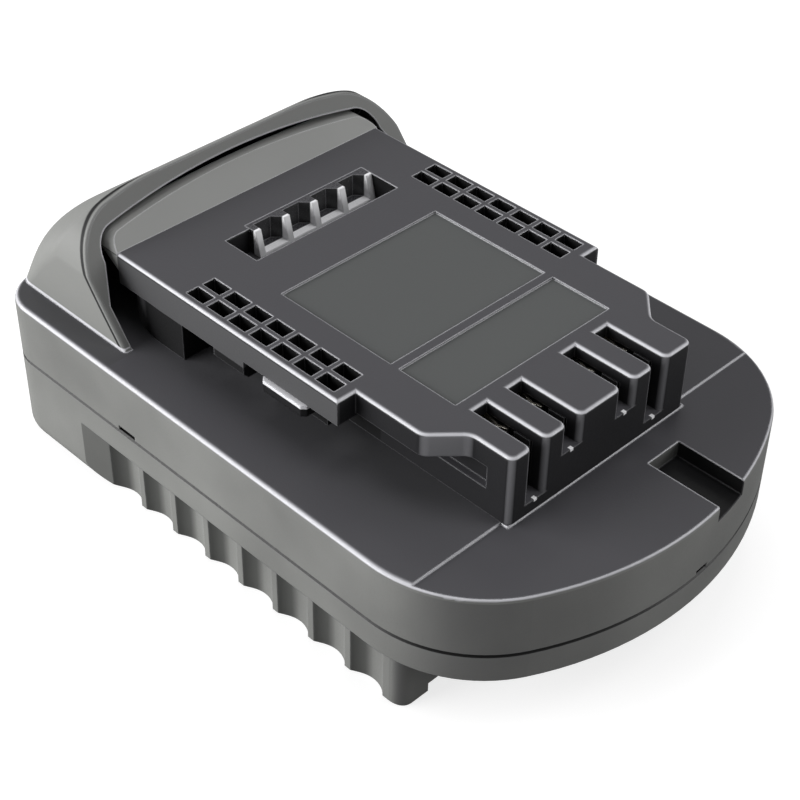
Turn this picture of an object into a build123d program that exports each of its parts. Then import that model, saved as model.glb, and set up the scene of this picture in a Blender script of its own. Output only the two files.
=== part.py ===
from build123d import *
import math
import os

# Tool battery adapter. Millimetres, +X to the nose, +Z up, origin at the
# middle of the bounding box's bottom face.

# Case, overall
case_length = 116.0
case_width = 78.0
nose_front_radius = 57.0
nose_corner_radius = 22.7
rear_corner_radius = 8.0
skirt_depth = 11.8
rim_height = 5.0
shell_height = 11.2
case_wall = 2.4
plate_thick = 2.4
ceiling_thick = 2.2
floor_thick = 2.2
plate_edge_round = 0.9
seam_bevel = 0.3
overrun = 1.0

nose_x = case_length / 2
rear_x = -nose_x
half_width = case_width / 2
seam_z = skirt_depth + rim_height
plate_z = seam_z + shell_height
plate_under_z = plate_z - plate_thick
ceiling_z = skirt_depth + ceiling_thick

# Tongue of the lower shell that locates the upper one
tongue_height = 1.5
tongue_thick = 1.2
tongue_gap = 0.15

# Deck, the raised tool interface on the plate
deck_front_gap = 18.4
deck_rear_gap = 20.9
deck_height = 12.4
deck_skin = 2.2
deck_wall = 2.6
rear_block_share = 0.2034
block_straight = 6.0
block_tuck = 3.0
block_hollow_half = 22.5
wing_share = 0.6636
wing_half = 28.5
wing_thick = 4.5
rear_wing_share = 0.2153
rear_wing_thick = 5.6
mid_wing_share = 0.1734
mid_wing_half = 24.9
mid_wing_thick = 4.0
deck_bevel_share = 0.0613
deck_plan_round = 2.5
neck_half = 19.8
deck_edge_round = 0.7
finger_round = 1.2

deck_front_x = nose_x - deck_front_gap
deck_rear_x = rear_x + deck_rear_gap
deck_length = deck_front_x - deck_rear_x
deck_top_z = plate_z + deck_height
deck_inner_z = deck_top_z - deck_skin
wing_front_x = deck_rear_x + deck_length * wing_share
mid_front_x = wing_front_x + deck_length * mid_wing_share
deck_bevel_run = deck_length * deck_bevel_share
rear_block_x = deck_rear_x + deck_length * rear_block_share
wing_run = wing_front_x - rear_block_x
wing_under_z = deck_top_z - wing_thick
mid_under_z = deck_top_z - mid_wing_thick
neck_inner = neck_half - deck_wall

# Groove and ledge along the front of the neck
groove_low = 4.5
groove_deep = 1.2
groove_front_margin = 4.6
groove_end_radius = 1.1

# Fixed stop tab under each wing
tab_share = 0.1983
tab_reach = 3.5
tab_low = 4.5
tab_bevel = 0.9
tab_x = rear_block_x + wing_run * rear_wing_share
tab_length = wing_run * tab_share

# Deck tail, which rises under the hood
tail_length = 6.6
tail_slope = 34.0
tail_skin = 3.2
tail_half = 28.6
tail_corner_radius = 3.0
tail_rise = 15.65
tail_crown_radius = 250.0

# Terminal slots
slot_width = 2.8
slot_length = 11.4
slot_group_offset = -1.0
slot_inner_spacing = 11.8
slot_outer_spacing = 26.4
outer_slot_floor = 2.0
inner_slot_floor = 7.0

# Vent windows in the wings
vent_count = 7
vent_rows = 2
vent_rib = 0.87
vent_end_gap = 1.2
vent_width = 2.4
vent_row_pitch = 3.25
vent_edge_margin = 1.3
vent_pitch = (wing_run - vent_end_gap) / vent_count
vent_length = vent_pitch - vent_rib

# Bare label recesses on the deck
panel_depth = 0.35
panel_half = 16.8
panel_rear_shares = (0.3364, 0.6714)
panel_length_shares = (0.3129, 0.1486)

# Sunken pocket near the deck's rear and its louvre insert
pocket_rear = 10.8
pocket_length = 5.7
pocket_depth = 4.6
pocket_low_y = -13.7
pocket_high_y = 17.6
pocket_skin = 1.6
pocket_side_run = 1.9
louvre_run = 3.0
louvre_low_y = -8.6
louvre_pitch = 6.15
louvre_windows = 4
louvre_bar = 1.2
louvre_sill = 0.5
louvre_back = 0.6
louvre_top_setback = 0.5
louvre_foot = 0.6
louvre_bevel = 1.4
louvre_gap = 0.05

# Hood behind the deck
hood_height = 19.6
hood_arch_half = 34.6
hood_arch_radius = 11.0
hood_crown_radius = 175.0
hood_levels = (0.0, 5.0, 10.0, 15.0, 21.0)
hood_setbacks = (0.3, 1.2, 3.4, 8.4, 16.0)
hood_halves = (34.2, 34.2, 34.1, 33.7, 32.9)
hood_plan_radii = (2.5, 6.0, 9.0, 12.0, 15.0)
hood_crease_round = 2.0
hood_edge_round = 0.5
hood_front_gap = 28.8
hood_front_spare = 12.0
hood_lean = 0.79
hood_band = 2.4
cavity_half = 30.2
cavity_arch_radius = 4.2
cavity_wall = 3.2
foot_flare = 2.6
foot_flare_low = 6.0
foot_flare_high = 13.0
foot_flare_length = 12.0

hood_front_x = rear_x + hood_front_gap + hood_front_spare

# Nose notch and the shallow step across the plate
notch_length = 13.6
notch_low_y = 5.5
notch_width = 7.2
notch_depth = 3.0
notch_skin = 1.8
pry_height = 1.1
pry_depth = 1.2
nose_pry_y = 1.5
nose_pry_length = 2.6
side_pry_gap = 31.9
side_pry_length = 4.1

step_setback = 1.4
step_depth = 0.25

# Ribbed skirt of the lower shell
crest_inset = 1.8
bulge_length = 20.9
shoulder_run = 6.6
skirt_front_gap = 21.8
skirt_front_round = 2.5
skirt_bottom_round = 3.5
flute_count = 8
flute_share = 0.8466
flute_depth = 1.6
flute_rear_gap = 9.03
flute_front_gap = 7.22

bulge_x = rear_x + bulge_length
skirt_front_x = nose_x - skirt_front_gap
crest_half = half_width - crest_inset
first_flute_x = bulge_x + flute_rear_gap
flute_pitch = (skirt_front_x - flute_front_gap - first_flute_x) / (flute_count - 1)
flute_chord = flute_pitch * flute_share

# Receiver under the case for the donor pack
receiver_half = 31.4
receiver_rear = 25.0
receiver_rail_reach = 4.0
receiver_rail_low = 1.6
receiver_rail_height = 3.0
receiver_rail_lead = 2.0
receiver_x = rear_x + receiver_rear
well_front_wall = 2.4

# Latch pocket in the receiver's ceiling and its steel strike
catch_front_gap = 12.0
catch_length = 8.0
catch_width = 18.0
catch_rise = 5.0
catch_wall = 1.6
strike_thick = 1.0
strike_side_gap = 1.0

# Circuit board
board_length = 36.0
board_rear_gap = 39.1
board_thick = 1.6
board_drop = 2.6
board_screw_margin = 3.4
board_rear_screw_y = 16.4
board_notch_gap = 0.4
board_screw_radius = 1.0
board_screw_head_radius = 1.9
board_screw_head_height = 1.2
board_screw_reach = 3.4
board_boss_radius = 2.4
board_front_screw_y = neck_inner + board_boss_radius
board_half = board_front_screw_y + board_screw_margin
board_rear_x = deck_front_x - board_rear_gap
board_top_z = plate_under_z - board_drop
board_under_z = board_top_z - board_thick

# Case screws, from below into bosses of the upper shell
case_screw_rear_gap = 10.0
case_screw_board_gap = 3.5
case_screw_nose_gap = 12.0
case_screw_offsets = (27.0, 23.5, 18.0)
case_screw_spots = (
    (rear_x + case_screw_rear_gap, case_screw_offsets[0]),
    (board_rear_x + case_screw_board_gap, case_screw_offsets[1]),
    (nose_x - case_screw_nose_gap, case_screw_offsets[2]),
)
case_screw_radius = 1.5
case_screw_head_radius = 2.8
case_screw_head_height = 2.0
case_screw_length = 9.5
case_boss_radius = 3.7
deep_boss_radius = 4.8
case_boss_split = 17.0
case_head_recess = 2.6
case_head_gap = 0.3
screw_fit = 0.05
screw_pass = 0.2
bore_spare = 1.0
socket_share = 0.5
socket_sides = 6
socket_depth_share = 0.55

# Deck screws, from under the plate into posts of the deck
deck_screw_rear_gap = 5.1
deck_screw_share = 0.38
deck_screw_front_gap = 25.6
deck_screw_offsets = (21.0, 12.0, 12.0)
deck_screw_spots = (
    (deck_rear_x + deck_screw_rear_gap, deck_screw_offsets[0]),
    (deck_rear_x + deck_length * deck_screw_share, deck_screw_offsets[1]),
    (deck_front_x - deck_screw_front_gap, deck_screw_offsets[2]),
)
deck_screw_radius = 1.2
deck_screw_head_radius = 2.4
deck_screw_head_height = 1.6
deck_screw_length = 8.0
deck_post_radius = 3.0

# Parts under the board: length, width, height, and centre ahead of the board's rear edge
switch_size = (6.6, 6.1, 2.3)
switch_spots = ((8.5, -8.5), (8.5, 0.0), (8.5, 8.5))
chip_size = (10.0, 4.0, 1.6)
chip_spot = (30.3, -6.0)
fuse_size = (10.0, 3.4, 3.0)
fuse_spot = (15.5, 16.5)
shunt_size = (6.4, 3.2, 0.8)
shunt_spot = (15.5, -16.5)
capacitor_radius = 3.15
capacitor_height = 5.8
capacitor_spot = (30.0, 9.0)
capacitor_round = 0.4

# Terminal carrier under the slots, and its spring clips
carrier_rear_gap = 6.0
carrier_front_gap = 0.4
carrier_side = 1.4
carrier_top_gap = 0.2
carrier_hole_gap = 0.5
clip_bay_width = 5.0
clip_bay_front = 3.0
clip_sheet = 0.5
clip_half = 1.75
clip_pinch = 0.5
clip_flare = 1.1
clip_length = 8.6
clip_rear_gap = 0.3
clip_floor_gap = 0.1
clip_tail_length = 2.4
clip_tail_below = 1.2
clip_tail_gap = 0.1
clip_straight_share = 0.45
clip_pinch_share = 0.82

# Donor terminal block and its blades
block_rear_gap = 2.2
block_length = 8.6
block_half = 16.4
block_low = 3.0
block_flange = 1.6
block_flange_front = 2.2
block_flange_half = 22.5
block_gap = 0.2
block_screw_y = 19.6
block_screw_radius = 1.0
block_screw_head_radius = 1.9
block_screw_head_height = 1.2
block_screw_length = 4.6
block_boss_radius = 2.6
block_boss_drop = 3.8
blade_thick = 0.8
blade_low = 4.5
blade_height = 5.0
blade_reach = 16.0
blade_riser_rear = 1.4
blade_riser_length = 3.6
blade_riser_top = 3.2
blade_fit = 0.05
blade_tip_bevel = 0.7
power_blade_y = 12.0
signal_blade_y = 4.0

# Leads between the blades and the board
power_lead_radius = 1.3
signal_lead_radius = 0.6
lead_bend = 4.5
lead_drop = 1.6
power_lead_end = 3.4
signal_lead_end = 2.1

# Sprung latch teeth under the wings
tooth_place_share = 0.6728
tooth_length_share = 0.2748
tooth_out = 0.5
tooth_top_gap = 0.4
tooth_nose_height = 1.9
tooth_shoulder = 1.2
tooth_back_gap = 0.4
tooth_ramp = 0.7
tooth_travel = 2.2
tooth_gap = 0.15
guide_wall = 1.2
keeper_thick = 1.2
keeper_setback = 3.0
keeper_floor = 1.2
spring_radius = 1.0
spring_wire = 0.3
spring_bore_gap = 0.15
spring_bore_depth = 1.8

tooth_x = rear_block_x + wing_run * tooth_place_share
tooth_length = wing_run * tooth_length_share
tooth_face_y = wing_half + tooth_out
keeper_face_y = wing_half - keeper_setback
keeper_back_y = keeper_face_y - keeper_thick
tooth_top_z = wing_under_z - tooth_top_gap
tooth_nose_z = tooth_top_z - tooth_nose_height
tooth_low_z = tooth_nose_z - tooth_shoulder
tooth_back_y = neck_half + tooth_travel + tooth_back_gap


def span(x0, x1, y0, y1, z0, z1):
    """A box between two corners."""
    size = Box(x1 - x0, y1 - y0, z1 - z0, align=(Align.MIN, Align.MIN, Align.MIN))
    return Pos(x0, y0, z0) * size


def rod(x, y, z0, z1, radius):
    """An upright cylinder."""
    return Pos(x, y, z0) * Cylinder(radius, z1 - z0, align=(Align.CENTER, Align.CENTER, Align.MIN))


def both_sides(shape):
    return [shape, mirror(shape, Plane.XZ)]


def four_spots(spots):
    """Each spot on both sides of the middle plane."""
    return [(x, side * y) for x, y in spots for side in (1, -1)]


def slot_centres():
    inner = slot_inner_spacing / 2
    outer = slot_outer_spacing / 2
    return [slot_group_offset + y for y in (-outer, -inner, inner, outer)]


def slot_floors():
    return [outer_slot_floor, inner_slot_floor, inner_slot_floor, outer_slot_floor]


def case_outline(inset):
    """Plan of the case, drawn in by an inset: straight sides, a nose of three arcs."""
    front_x = nose_x - nose_front_radius
    corner_y = half_width - nose_corner_radius
    reach = nose_front_radius - nose_corner_radius
    corner_x = front_x + math.sqrt(reach ** 2 - corner_y ** 2)
    turn = math.degrees(math.atan2(corner_y, corner_x - front_x))
    quarter = 90
    half = half_width - inset
    edge_x = rear_x + inset
    rear = rear_corner_radius - inset
    corner = nose_corner_radius - inset
    lines = [
        CenterArc((front_x, 0), nose_front_radius - inset, -turn, 2 * turn),
        CenterArc((corner_x, corner_y), corner, turn, quarter - turn),
        Line((corner_x, half), (edge_x + rear, half)),
        CenterArc((edge_x + rear, half - rear), rear, quarter, quarter),
        Line((edge_x, half - rear), (edge_x, rear - half)),
        CenterArc((edge_x + rear, rear - half), rear, 2 * quarter, quarter),
        Line((edge_x + rear, -half), (corner_x, -half)),
        CenterArc((corner_x, -corner_y), corner, -quarter, quarter - turn),
    ]
    return make_face(lines)


def case_prism(inset, z0, z1):
    return extrude(Pos(0, 0, z0) * case_outline(inset), z1 - z0)


def arch_face(half, corner, height, crown):
    """Front view of an arch that stands on the plate: its half width, corners, height and crown radius."""
    crown_z = plate_z + height - crown
    corner_y = half - corner
    reach = crown - corner
    corner_z = crown_z + math.sqrt(reach ** 2 - corner_y ** 2)
    turn = math.degrees(math.atan2(corner_z - crown_z, corner_y))
    quarter = 90
    base_z = plate_z
    lines = [
        Line((half, base_z), (half, corner_z)),
        CenterArc((corner_y, corner_z), corner, 0, turn),
        CenterArc((0, crown_z), crown, turn, 2 * (quarter - turn)),
        CenterArc((-corner_y, corner_z), corner, 2 * quarter - turn, turn),
        Line((-half, corner_z), (-half, base_z)),
        Line((-half, base_z), (half, base_z)),
    ]
    return make_face(lines)


def arch_prism(half, corner, height, crown):
    """An arch run along the whole case."""
    face = arch_face(half, corner, height, crown)
    section = Plane(origin=(rear_x - overrun, 0, 0), x_dir=(0, 1, 0), z_dir=(1, 0, 0)) * face
    return extrude(section, case_length)


def lean_cut():
    """All that lies in front of the hood's leaning face."""
    x0 = rear_x + hood_front_gap
    top = hood_height + overrun
    points = [
        (x0 + hood_lean * overrun, plate_z - overrun),
        (x0 - hood_lean * top, plate_z + top),
        (nose_x, plate_z + top),
        (nose_x, plate_z - overrun),
    ]
    face = Plane.XZ * make_face(Polyline(*points, close=True))
    return extrude(face, half_width, both=True)


def rounded_plan(rear_edge, front_edge, half, radius, z):
    """A plan rectangle with its two rear corners rounded."""
    shape = Rectangle(front_edge - rear_edge, 2 * half, align=(Align.MIN, Align.CENTER))
    rear_corners = shape.vertices().group_by(Axis.X)[0]
    return Pos(rear_edge, 0, z) * fillet(rear_corners, radius)


def hood_solid():
    """Domed body under an arch, with a leaning open front."""
    shapes = zip(hood_levels, hood_setbacks, hood_halves, hood_plan_radii)
    sections = [
        rounded_plan(rear_x + setback, hood_front_x, half, radius, plate_z + level)
        for level, setback, half, radius in shapes
    ]
    arch = arch_prism(hood_arch_half, hood_arch_radius, hood_height, hood_crown_radius)
    shape = (loft(sections) & arch) - lean_cut()
    shape = fillet([e for e in shape.edges() if on_crown(e)], hood_crease_round)
    return fillet([e for e in shape.edges() if on_lip(e)], hood_edge_round)


def on_crown(edge):
    """True for the edges where the crown and its corners meet the dome."""
    middle = edge.center()
    lip_x = rear_x + hood_front_gap - hood_lean * (middle.Z - plate_z)
    return middle.X < lip_x - overrun and middle.Z > plate_z + hood_levels[2]


def on_lip(edge):
    """True for the edges along the hood's leaning face, above the plate."""
    middle = edge.center()
    lip_x = rear_x + hood_front_gap - hood_lean * (middle.Z - plate_z)
    return abs(middle.X - lip_x) < overrun and middle.Z > plate_z + overrun


def hood_cavity():
    """Hollow inside the hood, a wall in from its dome and a band in from its lip."""
    shapes = zip(hood_levels, hood_setbacks, hood_halves, hood_plan_radii)
    sections = [
        rounded_plan(
            rear_x + setback + cavity_wall, hood_front_x, half - cavity_wall, radius, plate_z + level
        )
        for level, setback, half, radius in shapes
    ]
    height = hood_height - hood_band
    return loft(sections) & arch_prism(cavity_half, cavity_arch_radius, height, hood_crown_radius - hood_band)


def foot_flare_cut():
    """Wedge that thins one foot of the hood towards the plate."""
    inner_y = cavity_half - overrun
    outer_y = cavity_half + foot_flare
    points = [(inner_y, 0), (outer_y, 0), (outer_y, foot_flare_low), (inner_y, foot_flare_high)]
    rear = deck_rear_x - foot_flare_length
    face = Plane.YZ * make_face(Polyline(*points, close=True))
    return Pos(rear, 0, plate_z) * extrude(face, hood_front_x - rear, dir=(1, 0, 0))


def case_bosses():
    """Bosses that hang from the plate and take the case screws."""
    shape = Part()
    for x, y in four_spots(case_screw_spots):
        shape += rod(x, y, case_boss_split, plate_under_z + overrun, case_boss_radius)
    return shape


def board_corners():
    """Where the board is screwed to the plate."""
    x0 = board_rear_x + board_screw_margin
    x1 = board_rear_x + board_length - board_screw_margin
    rear_y = board_rear_screw_y
    front_y = board_front_screw_y
    return [(x0, rear_y), (x0, -rear_y), (x1, front_y), (x1, -front_y)]


def carrier_bounds():
    """Plan of the terminal carrier: x0, x1, y0, y1."""
    x1 = deck_front_x - deck_wall - carrier_front_gap
    x0 = deck_front_x - slot_length - carrier_rear_gap
    side = clip_bay_width / 2 + carrier_side
    centres = slot_centres()
    low = max(centres[0] - side, carrier_front_gap - neck_inner)
    return x0, x1, low, centres[-1] + side


def top_case():
    outer = case_prism(0, seam_z, plate_z)
    outer = fillet(outer.faces().sort_by(Axis.Z)[-1].edges(), plate_edge_round)
    shell = outer - case_prism(case_wall, seam_z, plate_under_z)
    shell = chamfer(shell.faces().sort_by(Axis.Z)[0].outer_wire().edges(), seam_bevel)
    shell += hood_solid()
    shell -= hood_cavity()
    shell -= both_sides(foot_flare_cut())
    shell += case_bosses()
    shell += notch_bed()
    for x, y in board_corners():
        shell += rod(x, y, board_top_z, plate_under_z + overrun, board_boss_radius)
    return shell - top_case_cuts()


def notch_bed():
    """Thicker stretch under the nose notch, inside the case."""
    x0 = nose_x - notch_length - notch_skin
    y0 = notch_low_y - notch_skin
    y1 = notch_low_y + notch_width + notch_skin
    low = plate_z - notch_depth - notch_skin
    return case_prism(case_wall, low, plate_under_z) & span(x0, nose_x, y0, y1, low, plate_under_z)


def top_case_cuts():
    x0, x1, y0, y1 = carrier_bounds()
    gap = carrier_hole_gap
    cuts = span(x0 - gap, x1 + gap, y0 - gap, y1 + gap, plate_under_z - overrun, plate_z + overrun)
    notch_x = nose_x - notch_length
    notch_high_y = notch_low_y + notch_width
    beyond_x = nose_x + overrun
    above_z = plate_z + overrun
    cuts += span(notch_x, beyond_x, notch_low_y, notch_high_y, plate_z - notch_depth, above_z)
    step_x = deck_front_x - step_setback
    step = span(step_x, beyond_x, -case_width, case_width, plate_z - step_depth, above_z)
    under_deck = span(step_x - overrun, deck_front_x, -neck_half, neck_half, plate_z - overrun, above_z)
    cuts += step - under_deck
    cuts += pry_cuts()
    bore_top = skirt_depth + case_head_recess + case_screw_length + bore_spare
    for x, y in four_spots(case_screw_spots):
        cuts += rod(x, y, case_boss_split - overrun, bore_top, case_screw_radius + screw_fit)
    for x, y in four_spots(deck_screw_spots):
        cuts += rod(x, y, plate_under_z - overrun, plate_z + overrun, deck_screw_radius + screw_pass)
    for x, y in board_corners():
        top = board_top_z - board_thick + board_screw_reach + bore_spare
        cuts += rod(x, y, board_top_z - overrun, top, board_screw_radius + screw_fit)
    return cuts


def pry_cuts():
    """Two shallow notches along the seam, one in the nose and one in the near side."""
    low = seam_z - overrun
    high = seam_z + pry_height
    nose = span(nose_x - pry_depth, nose_x + overrun, nose_pry_y, nose_pry_y + nose_pry_length, low, high)
    x0 = rear_x + side_pry_gap
    side_y = pry_depth - half_width
    return nose + span(x0, x0 + side_pry_length, -half_width - overrun, side_y, low, high)


def skirt_plan():
    """Plan of the skirt: full width at the rear, then shoulders, then the ribbed sides."""
    rear_part = case_outline(0) & (Pos(rear_x, 0) * Rectangle(2 * bulge_length, 2 * case_width))
    points = [
        (bulge_x, half_width),
        (bulge_x + shoulder_run, crest_half),
        (bulge_x + shoulder_run, -crest_half),
        (bulge_x, -half_width),
    ]
    middle = make_face(Polyline(*points, close=True))
    front = Pos(bulge_x + shoulder_run, 0) * Rectangle(
        skirt_front_x - bulge_x - shoulder_run, 2 * crest_half, align=(Align.MIN, Align.CENTER)
    )
    front = fillet(front.vertices().group_by(Axis.X)[-1], skirt_front_round)
    return rear_part + middle + front


def flute_cuts():
    """Upright hollows that leave the skirt's sides ribbed."""
    radius = (flute_chord ** 2 / 4 + flute_depth ** 2) / (2 * flute_depth)
    centre_y = crest_half + radius - flute_depth
    cuts = Part()
    for i in range(flute_count):
        x = first_flute_x + i * flute_pitch
        for side in (1, -1):
            cuts += rod(x, side * centre_y, -overrun, skirt_depth, radius)
    return cuts


def receiver_cut():
    """Space that the donor pack slides into, with a rail left along each side."""
    cut = span(receiver_x, nose_x, -receiver_half, receiver_half, -overrun, skirt_depth)
    rail_top = receiver_rail_low + receiver_rail_height
    rail_y = receiver_half - receiver_rail_reach
    rail = span(receiver_x, skirt_front_x, rail_y, receiver_half, receiver_rail_low, rail_top)
    corner = rail.edges().filter_by(Axis.Z).group_by(Axis.X)[-1].sort_by(Axis.Y)[0]
    rail = chamfer(corner, receiver_rail_lead)
    for piece in both_sides(rail):
        cut -= piece
    return cut


def well_cut():
    """Hollow inside the rear bulge, open to the compartment above."""
    front = receiver_x - well_front_wall
    inner = case_prism(case_wall, floor_thick, seam_z + overrun)
    return inner & span(rear_x, front, -half_width, half_width, 0, seam_z + overrun)


def catch_bounds(grow):
    x1 = nose_x - catch_front_gap + grow
    x0 = x1 - catch_length - 2 * grow
    half = catch_width / 2 + grow
    return x0, x1, -half, half


def bottom_case():
    skirt = extrude(skirt_plan(), skirt_depth)
    bottom_edges = skirt.faces().sort_by(Axis.Z)[0].edges()
    rear_edges = [e for e in bottom_edges if e.center().X < bulge_x + overrun]
    skirt = fillet(rear_edges, skirt_bottom_round)
    skirt = skirt - flute_cuts() - receiver_cut()
    rim = case_prism(0, skirt_depth, seam_z)
    rim = chamfer(rim.faces().sort_by(Axis.Z)[-1].edges(), seam_bevel)
    rim -= case_prism(case_wall, ceiling_z, seam_z + overrun)
    tongue_outer = case_wall + tongue_gap
    tongue = case_prism(tongue_outer, ceiling_z, seam_z + tongue_height)
    tongue -= case_prism(tongue_outer + tongue_thick, ceiling_z, seam_z + tongue_height)
    bridge = case_prism(case_wall, ceiling_z, seam_z - tongue_height)
    bridge -= case_prism(tongue_outer, ceiling_z, seam_z - tongue_height)
    shell = skirt + rim + tongue + bridge
    x0, x1, y0, y1 = catch_bounds(catch_wall)
    shell += span(x0, x1, y0, y1, ceiling_z, skirt_depth + catch_rise + catch_wall)
    shell -= well_cut() - tongue_keep()
    shell += lower_bosses()
    return shell - bottom_case_cuts()


def tongue_keep():
    """The tongue's ring, which the rear well leaves standing."""
    outer = case_wall
    ring = case_prism(outer, ceiling_z, seam_z + tongue_height)
    return ring - case_prism(outer + tongue_gap + tongue_thick, ceiling_z, seam_z + tongue_height)


def lower_bosses():
    shape = Part()
    for x, y in four_spots(case_screw_spots):
        shape += rod(x, y, skirt_depth, case_boss_split, case_boss_radius)
        if x < receiver_x:
            shape += rod(x, y, floor_thick - overrun, ceiling_z, deep_boss_radius)
    return shape


def block_bounds():
    """Plan of the terminal block's body: x0, x1, half width."""
    x0 = receiver_x + block_rear_gap
    return x0, x0 + block_length, block_half


def block_screw_spots():
    x0, x1, half = block_bounds()
    middle = (x0 + x1) / 2
    return [(middle, block_screw_y), (middle, -block_screw_y)]


def bottom_case_cuts():
    head = case_screw_head_radius + case_head_gap
    cuts = Part()
    for x, y in four_spots(case_screw_spots):
        recess_top = skirt_depth + case_head_recess
        cuts += rod(x, y, -overrun, recess_top, head)
        cuts += rod(x, y, recess_top - overrun, case_boss_split + overrun, case_screw_radius + screw_pass)
    x0, x1, y0, y1 = catch_bounds(0)
    cuts += span(x0, x1, y0, y1, skirt_depth - overrun, skirt_depth + catch_rise)
    x0, x1, half = block_bounds()
    half += block_gap
    cuts += span(x0 - block_gap, x1 + block_gap, -half, half, skirt_depth - overrun, ceiling_z)
    bore_low = ceiling_z + block_flange - block_screw_length - bore_spare
    for x, y in block_screw_spots():
        cuts += rod(x, y, bore_low, ceiling_z + overrun, block_screw_radius + screw_fit)
    return cuts


def receiver_bosses():
    """Bosses beside the terminal block, under the ceiling."""
    shape = Part()
    for x, y in block_screw_spots():
        shape += rod(x, y, skirt_depth - block_boss_drop, ceiling_z, block_boss_radius)
    return shape


def deck_wing(side):
    """Outline of the deck's top, on one side."""
    return [
        (deck_rear_x, side * wing_half),
        (wing_front_x, side * wing_half),
        (wing_front_x, side * mid_wing_half),
        (mid_front_x, side * mid_wing_half),
        (mid_front_x + deck_bevel_run, side * neck_half),
        (deck_front_x, side * neck_half),
    ]


def deck_blank():
    """Top slab on a neck, with a full-width block at the rear."""
    points = deck_wing(1) + deck_wing(-1)[::-1]
    plan = make_face(Polyline(*points, close=True))
    bevel_corners = [v for v in plan.vertices() if mid_front_x - overrun < v.X < deck_front_x - overrun]
    plan = fillet(bevel_corners, deck_plan_round)
    slab = extrude(Pos(0, 0, deck_top_z - rear_wing_thick) * plan, rear_wing_thick)
    under = deck_top_z - rear_wing_thick
    for side in (1, -1):
        y0, y1 = sorted((side * neck_half, side * case_width))
        slab -= span(tab_x, wing_front_x, y0, y1, under, wing_under_z)
        slab -= span(wing_front_x, nose_x, y0, y1, under, mid_under_z)
    neck = span(rear_block_x - overrun, deck_front_x, -neck_half, neck_half, plate_z, deck_inner_z)
    blank = slab + neck + rear_block() - slot_cuts()
    blank = fillet([e for e in blank.edges() if on_finger(e)], finger_round)
    top_edges = blank.faces().sort_by(Axis.Z)[-1].edges()
    return fillet([e for e in top_edges if e.center().X > deck_rear_x + overrun], deck_edge_round)


def rear_block():
    """Full-width block whose sides draw in towards the rear."""
    bend_x = rear_block_x - block_straight
    tuck_y = wing_half - block_tuck
    lines = [
        Line((rear_block_x, -wing_half), (rear_block_x, wing_half)),
        Line((rear_block_x, wing_half), (bend_x, wing_half)),
        TangentArc((bend_x, wing_half), (deck_rear_x, tuck_y), tangent=(-1, 0)),
        Line((deck_rear_x, tuck_y), (deck_rear_x, -tuck_y)),
        TangentArc((bend_x, -wing_half), (deck_rear_x, -tuck_y), tangent=(-1, 0)),
        Line((bend_x, -wing_half), (rear_block_x, -wing_half)),
    ]
    return extrude(Pos(0, 0, plate_z) * make_face(lines), deck_height - deck_skin)


def deck_tail():
    """Wedge that rises from the deck's rear edge under the hood."""
    tangent = math.tan(math.radians(tail_slope))
    end_x = deck_rear_x - tail_length
    end_z = deck_top_z + tail_length * tangent
    points = [
        (deck_rear_x, deck_top_z - tail_skin),
        (deck_rear_x, deck_top_z),
        (end_x, end_z),
        (end_x, end_z - tail_skin),
    ]
    face = Plane.XZ * make_face(Polyline(*points, close=True))
    wedge = extrude(face, wing_half, both=True)
    return wedge & arch_prism(tail_half, tail_corner_radius, tail_rise, tail_crown_radius)


def deck_hollow():
    rear_x0 = deck_rear_x + deck_wall
    rear_x1 = rear_block_x - deck_wall
    hollow_half = block_hollow_half
    hollow = span(rear_x0, rear_x1, -hollow_half, hollow_half, plate_z - overrun, deck_inner_z)
    front_x = deck_front_x - deck_wall
    hollow += span(rear_x1 - overrun, front_x, -neck_inner, neck_inner, plate_z - overrun, deck_inner_z)
    return hollow


def deck_posts():
    shape = Part()
    for x, y in four_spots(deck_screw_spots):
        shape += rod(x, y, plate_z, deck_inner_z, deck_post_radius)
    return shape


def pocket_bounds():
    x0 = deck_rear_x + pocket_rear
    return x0, x0 + pocket_length, pocket_low_y, pocket_high_y


def pocket_wall():
    """Walls and floor left round the pocket inside the hollow deck."""
    x0, x1, y0, y1 = pocket_bounds()
    skin = pocket_skin
    floor_z = deck_top_z - pocket_depth
    x0 -= louvre_run + skin
    return span(x0, x1 + skin, y0 - skin, y1 + skin, floor_z - skin, deck_inner_z)


def louvre_bounds(grow):
    x0, x1, y0, y1 = pocket_bounds()
    high = louvre_low_y + louvre_windows * louvre_pitch + louvre_bar
    return x0 - louvre_run - grow, x0, louvre_low_y - grow, high + grow


def pocket_cut():
    x0, x1, y0, y1 = pocket_bounds()
    floor_z = deck_top_z - pocket_depth
    top = deck_top_z + overrun
    cut = span(x0, x1, y0, louvre_bounds(0)[3] + louvre_gap, floor_z, top)
    cut += span(x0 - pocket_side_run, x1, y0, louvre_low_y, floor_z, top)
    lx0, lx1, ly0, ly1 = louvre_bounds(louvre_gap)
    return cut + span(lx0, lx1 + overrun, ly0, ly1, floor_z, top)


def vent_cuts():
    cuts = Part()
    low = deck_top_z - rear_wing_thick
    for row in range(vent_rows):
        y1 = wing_half - vent_edge_margin - row * vent_row_pitch
        for i in range(vent_count):
            x0 = rear_block_x + i * vent_pitch
            window = span(x0, x0 + vent_length, y1 - vent_width, y1, low, deck_top_z + overrun)
            for piece in both_sides(window):
                cuts += piece
    return cuts


def slot_cuts():
    """Terminal slots, open at the top and the front."""
    cuts = Part()
    half = slot_width / 2
    for y, floor in zip(slot_centres(), slot_floors()):
        x0 = deck_front_x - slot_length
        cuts += span(x0, deck_front_x + overrun, y - half, y + half, plate_z + floor, deck_top_z + overrun)
    return cuts


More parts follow.
